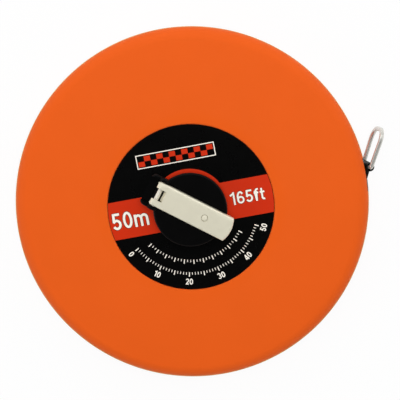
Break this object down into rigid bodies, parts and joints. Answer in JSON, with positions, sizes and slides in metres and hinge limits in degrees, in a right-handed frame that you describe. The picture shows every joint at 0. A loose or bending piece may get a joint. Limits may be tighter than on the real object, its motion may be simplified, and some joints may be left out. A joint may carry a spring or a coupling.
{
  "type": "surveyor tape reel",
  "caption": "Closed-case surveyor's tape: round moulded case with a label, folding crank arm and knob on a disc, wound tape, and a wire end ring at the mouth.",
  "frame": {"origin": "centre of the flat rear face, on the reel's axle", "axes": "+Z along the axle, out of the front face towards the crank; +X towards the side of the case with the tape mouth, which opens a little above it; +Y completes the frame"},
  "size_m": [0.1979, 0.19, 0.038],
  "materials": {
    "case_plastic": "satin moulded orange ABS, finely grained",
    "label_print": "printed and laminated round label, black with red band and ring",
    "black_plastic": "smooth black moulded plastic",
    "natural_plastic": "natural undyed acetal and polystyrene",
    "tape_vinyl": "yellow vinyl-coated glass-fibre tape",
    "sleeve_vinyl": "black vinyl reinforcing sleeve",
    "satin_nickel": "pressed steel, satin nickel plated",
    "bright_chrome": "bright chrome plated round wire",
    "zinc_steel": "zinc plated steel",
    "spring_steel": "hardened spring strip"
  },
  "bodies": {
    "case": {"rear_shell": "case_plastic", "front_shell": "case_plastic", "front_label": "label_print", "mouthpiece": "black_plastic", "drag_spring_washer": "spring_steel", "case_screw_1": "zinc_steel", "case_screw_2": "zinc_steel", "case_screw_3": "zinc_steel", "case_screw_4": "zinc_steel", "case_screw_5": "zinc_steel"},
    "reel": {"crank_disc": "black_plastic", "arm_leaf_spring": "spring_steel", "arm_hinge_pin": "zinc_steel", "hub": "natural_plastic", "hub_rear_flange": "natural_plastic", "tape_anchor_wedge": "black_plastic", "thrust_washer": "natural_plastic", "hub_screw_1": "zinc_steel", "hub_screw_2": "zinc_steel", "hub_screw_3": "zinc_steel", "wound_tape": "tape_vinyl"},
    "arm": {"crank_arm": "satin_nickel", "knob_post": "satin_nickel"},
    "knob": {"winding_knob": "black_plastic"},
    "tape_end": {"tape_tail": "tape_vinyl", "tape_end_sleeve": "sleeve_vinyl", "tape_rivet_1": "zinc_steel", "tape_rivet_2": "zinc_steel"},
    "ring": {"end_ring": "bright_chrome"}
  },
  "joints": [
    {"name": "reel_spin", "type": "hinge", "parent": "case", "child": "reel", "pos_m": [0, 0, 0.0135], "axis": [0, 0, 1], "continuous": true},
    {"name": "arm_fold", "type": "hinge", "parent": "reel", "child": "arm", "pos_m": [-0.01624, 0.00875, 0.035], "axis": [-0.4741, -0.8805, 0], "range_deg": [0, 180]},
    {"name": "knob_spin", "type": "hinge", "parent": "arm", "child": "knob", "pos_m": [0.00744, -0.00401, 0.0317], "axis": [0, 0, 1], "continuous": true},
    {"name": "tape_pull", "type": "slide", "parent": "case", "child": "tape_end", "axis": [0.2826, 0.9592, 0], "range_m": [0, 0.03]},
    {"name": "ring_swing", "type": "hinge", "parent": "tape_end", "child": "ring", "pos_m": [0.09473, 0.01893, 0.0135], "axis": [0.1169, -0.0344, 0.9925], "range_deg": [-150, 30]}
  ]
}
